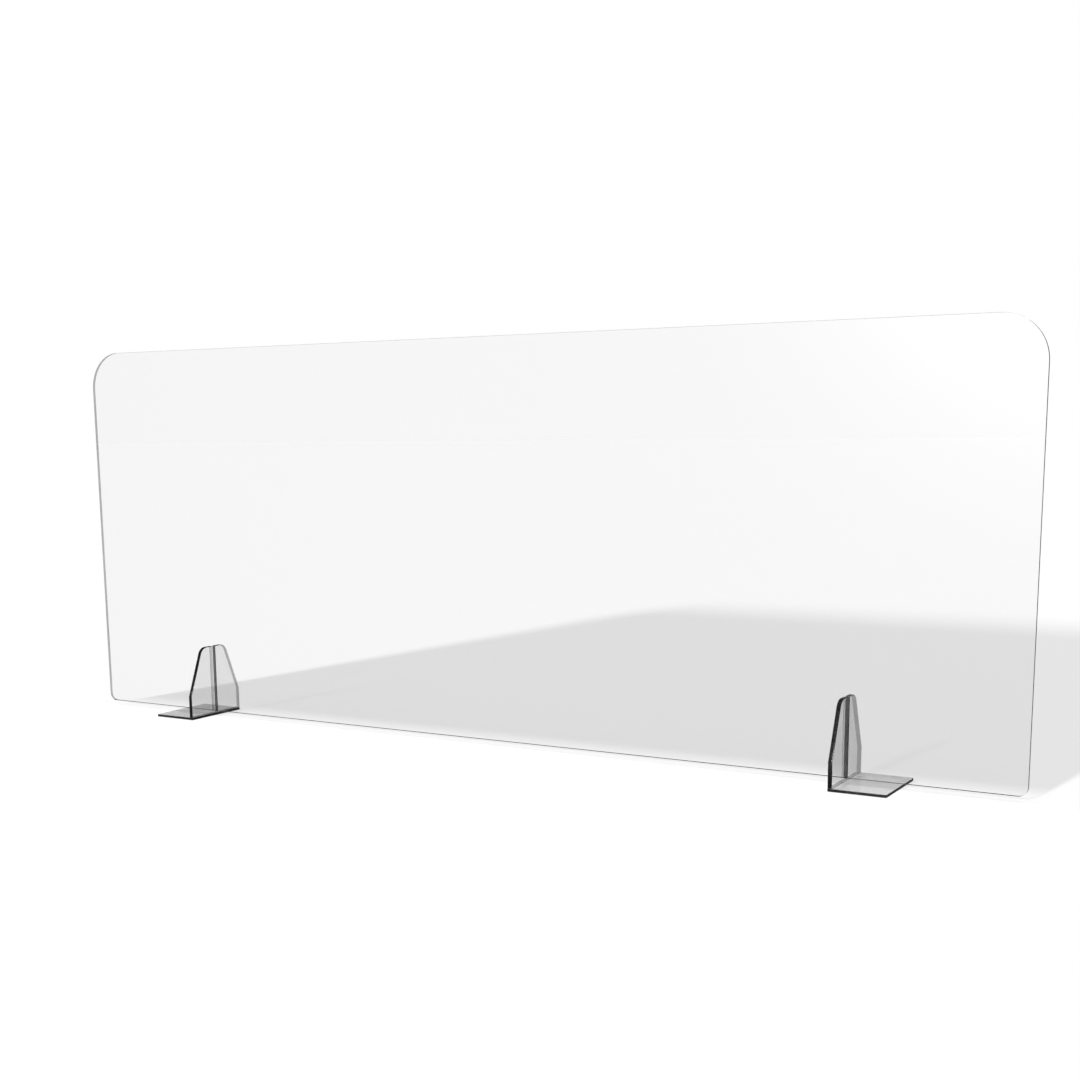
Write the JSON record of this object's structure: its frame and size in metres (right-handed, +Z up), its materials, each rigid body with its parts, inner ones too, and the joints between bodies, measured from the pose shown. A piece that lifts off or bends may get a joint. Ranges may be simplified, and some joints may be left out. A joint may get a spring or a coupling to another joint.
{
  "type": "desk privacy panel",
  "caption": "Long clear acrylic screen with round top corners, standing on a desk in two slotted L-shaped acrylic feet that it lifts out of.",
  "frame": {"origin": "on the desk, under the middle of the panel: the centre of the whole object's footprint", "axes": "+X along the panel towards the right foot, +Y to the panel's back, +Z up"},
  "size_m": [1.6, 0.118, 0.608],
  "materials": {
    "clear_acrylic": "clear cast acrylic sheet, polished faces and flame-polished edges",
    "foot_acrylic": "clear acrylic sheet with a light smoke-grey tint, polished faces, darker cut edges",
    "pad_polyurethane": "soft clear polyurethane, self-adhesive"
  },
  "bodies": {
    "panel": {"screen_panel": "clear_acrylic"},
    "left_foot": {"left_foot_upright": "foot_acrylic", "left_foot_base": "foot_acrylic", "left_foot_pad_front_inner": "pad_polyurethane", "left_foot_pad_front_outer": "pad_polyurethane", "left_foot_pad_back_inner": "pad_polyurethane", "left_foot_pad_back_outer": "pad_polyurethane"},
    "right_foot": {"right_foot_upright": "foot_acrylic", "right_foot_base": "foot_acrylic", "right_foot_pad_front_inner": "pad_polyurethane", "right_foot_pad_front_outer": "pad_polyurethane", "right_foot_pad_back_inner": "pad_polyurethane", "right_foot_pad_back_outer": "pad_polyurethane"}
  },
  "joints": [
    {"name": "panel_lift_out", "type": "slide", "parent": "left_foot", "child": "panel", "axis": [0, 0, 1], "range_m": [0, 0.13]},
    {"name": "right_foot_release", "type": "slide", "parent": "panel", "child": "right_foot", "axis": [0, 0, -1], "range_m": [0, 0.13]}
  ],
  "couplings": [
    {"joint": "right_foot_release", "follows": "panel_lift_out", "ratio": 1}
  ]
}
